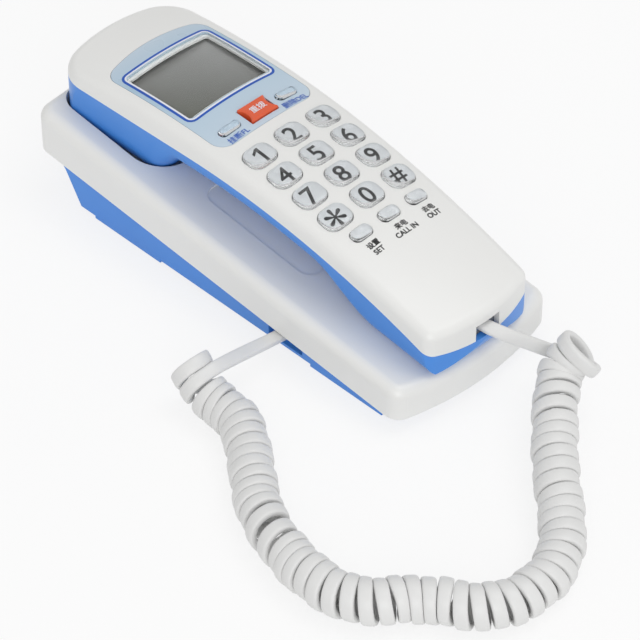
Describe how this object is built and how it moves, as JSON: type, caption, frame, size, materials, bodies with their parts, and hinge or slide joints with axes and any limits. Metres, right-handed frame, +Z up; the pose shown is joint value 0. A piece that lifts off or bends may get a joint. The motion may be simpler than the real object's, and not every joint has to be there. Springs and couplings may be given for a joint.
{
  "type": "corded landline phone",
  "caption": "Slim corded desk phone: a keypad handset with a display lies in the cradle of a low sloping base and is joined to it by a curly cord.",
  "frame": {"origin": "on the table under the middle of the phone, measured without the cord", "axes": "+X to the user's right, +Y from the mouth end to the ear end, +Z up"},
  "size_m": [0.1392, 0.2496, 0.0559],
  "materials": {
    "white_shell": "satin off-white moulding",
    "blue_shell": "satin mid-blue moulding",
    "panel": "pale blue printed panel",
    "window": "clear window",
    "lcd": "grey liquid-crystal cell",
    "key_cap": "clear cap over a pale key",
    "pill_cap": "pale pill-shaped key",
    "redial_cap": "orange key",
    "board": "green circuit board",
    "holder": "white moulded frame",
    "silicone": "grey silicone",
    "dark_rubber": "black rubber",
    "speaker": "dark metal",
    "capsule": "bare metal can",
    "jack": "black moulded socket",
    "contact": "gilt contact wire",
    "steel": "zinc-plated steel",
    "plunger": "off-white moulding",
    "plug": "clear modular plug",
    "cord": "off-white cord jacket"
  },
  "bodies": {
    "base": {"base_top_shell": "white_shell", "base_bottom_shell": "blue_shell", "base_screws": "steel", "rubber_feet": "dark_rubber", "base_board": "board", "hook_switch": "jack", "hook_spring": "steel", "ringer": "speaker", "base_cord_jack": "jack", "base_cord_jack_contacts": "contact", "line_jack": "jack", "line_jack_contacts": "contact", "base_plug": "plug", "cord_lead_base": "cord", "cord_curls": "cord"},
    "handset": {"handset_top_shell": "white_shell", "handset_bottom_shell": "blue_shell", "display_panel": "panel", "display_window": "window", "lcd_glass": "lcd", "lcd_holder": "holder", "lcd_connector_strips": "silicone", "display_board": "board", "keypad_board": "board", "keypad_mat": "silicone", "earpiece_speaker": "speaker", "earpiece_gasket": "silicone", "microphone": "capsule", "microphone_boot": "dark_rubber", "handset_jack": "jack", "handset_jack_contacts": "contact", "handset_screws": "steel", "handset_plug": "plug", "cord_lead_handset": "cord"},
    "hook": {"hook_plunger": "plunger"},
    "key_1_body": {"key_1": "key_cap"},
    "key_2_body": {"key_2": "key_cap"},
    "key_3_body": {"key_3": "key_cap"},
    "key_4_body": {"key_4": "key_cap"},
    "key_5_body": {"key_5": "key_cap"},
    "key_6_body": {"key_6": "key_cap"},
    "key_7_body": {"key_7": "key_cap"},
    "key_8_body": {"key_8": "key_cap"},
    "key_9_body": {"key_9": "key_cap"},
    "key_star_body": {"key_star": "key_cap"},
    "key_0_body": {"key_0": "key_cap"},
    "key_hash_body": {"key_hash": "key_cap"},
    "key_set_body": {"key_set": "pill_cap"},
    "key_incoming_body": {"key_incoming": "pill_cap"},
    "key_outgoing_body": {"key_outgoing": "pill_cap"},
    "key_flash_body": {"key_flash": "pill_cap"},
    "key_delete_body": {"key_delete": "pill_cap"},
    "key_redial_body": {"key_redial": "redial_cap"}
  },
  "joints": [
    {"name": "handset_lift", "type": "slide", "parent": "base", "child": "handset", "axis": [0, 0, 1], "range_m": [0, 0.08], "deforming": ["cord_curls", "cord_lead_handset"]},
    {"name": "hook_travel", "type": "slide", "parent": "base", "child": "hook", "axis": [0, 0, 1], "range_m": [0, 0.003], "deforming": ["hook_spring"]},
    {"name": "key_1_press", "type": "slide", "parent": "handset", "child": "key_1_body", "axis": [0.1104, 0.0928, -0.9895], "range_m": [0, 0.001], "stiffness_N_per_m": 300},
    {"name": "key_2_press", "type": "slide", "parent": "handset", "child": "key_2_body", "axis": [0, 0.0931, -0.9957], "range_m": [0, 0.001], "stiffness_N_per_m": 300},
    {"name": "key_3_press", "type": "slide", "parent": "handset", "child": "key_3_body", "axis": [-0.1104, 0.0928, -0.9895], "range_m": [0, 0.001], "stiffness_N_per_m": 300},
    {"name": "key_4_press", "type": "slide", "parent": "handset", "child": "key_4_body", "axis": [0.1104, 0.1255, -0.9859], "range_m": [0, 0.001], "stiffness_N_per_m": 300},
    {"name": "key_5_press", "type": "slide", "parent": "handset", "child": "key_5_body", "axis": [0, 0.126, -0.992], "range_m": [0, 0.001], "stiffness_N_per_m": 300},
    {"name": "key_6_press", "type": "slide", "parent": "handset", "child": "key_6_body", "axis": [-0.1104, 0.1255, -0.9859], "range_m": [0, 0.001], "stiffness_N_per_m": 300},
    {"name": "key_7_press", "type": "slide", "parent": "handset", "child": "key_7_body", "axis": [0.1104, 0.1582, -0.9812], "range_m": [0, 0.001], "stiffness_N_per_m": 300},
    {"name": "key_8_press", "type": "slide", "parent": "handset", "child": "key_8_body", "axis": [0, 0.1588, -0.9873], "range_m": [0, 0.001], "stiffness_N_per_m": 300},
    {"name": "key_9_press", "type": "slide", "parent": "handset", "child": "key_9_body", "axis": [-0.1104, 0.1582, -0.9812], "range_m": [0, 0.001], "stiffness_N_per_m": 300},
    {"name": "key_star_press", "type": "slide", "parent": "handset", "child": "key_star_body", "axis": [0.1104, 0.1909, -0.9754], "range_m": [0, 0.001], "stiffness_N_per_m": 300},
    {"name": "key_0_press", "type": "slide", "parent": "handset", "child": "key_0_body", "axis": [0, 0.1916, -0.9815], "range_m": [0, 0.001], "stiffness_N_per_m": 300},
    {"name": "key_hash_press", "type": "slide", "parent": "handset", "child": "key_hash_body", "axis": [-0.1104, 0.1909, -0.9754], "range_m": [0, 0.001], "stiffness_N_per_m": 300},
    {"name": "key_set_press", "type": "slide", "parent": "handset", "child": "key_set_body", "axis": [0.096, 0.2188, -0.971], "range_m": [0, 0.001], "stiffness_N_per_m": 300},
    {"name": "key_incoming_press", "type": "slide", "parent": "handset", "child": "key_incoming_body", "axis": [0, 0.2194, -0.9756], "range_m": [0, 0.001], "stiffness_N_per_m": 300},
    {"name": "key_outgoing_press", "type": "slide", "parent": "handset", "child": "key_outgoing_body", "axis": [-0.096, 0.2188, -0.971], "range_m": [0, 0.001], "stiffness_N_per_m": 300},
    {"name": "key_flash_press", "type": "slide", "parent": "handset", "child": "key_flash_body", "axis": [0.0984, 0.0476, -0.994], "range_m": [0, 0.001], "stiffness_N_per_m": 300},
    {"name": "key_delete_press", "type": "slide", "parent": "handset", "child": "key_delete_body", "axis": [-0.0984, 0.0476, -0.994], "range_m": [0, 0.001], "stiffness_N_per_m": 300},
    {"name": "key_redial_press", "type": "slide", "parent": "handset", "child": "key_redial_body", "axis": [0, 0.0478, -0.9989], "range_m": [0, 0.001], "stiffness_N_per_m": 300}
  ],
  "couplings": [
    {"joint": "hook_travel", "follows": "handset_lift", "ratio": 0.0375}
  ]
}
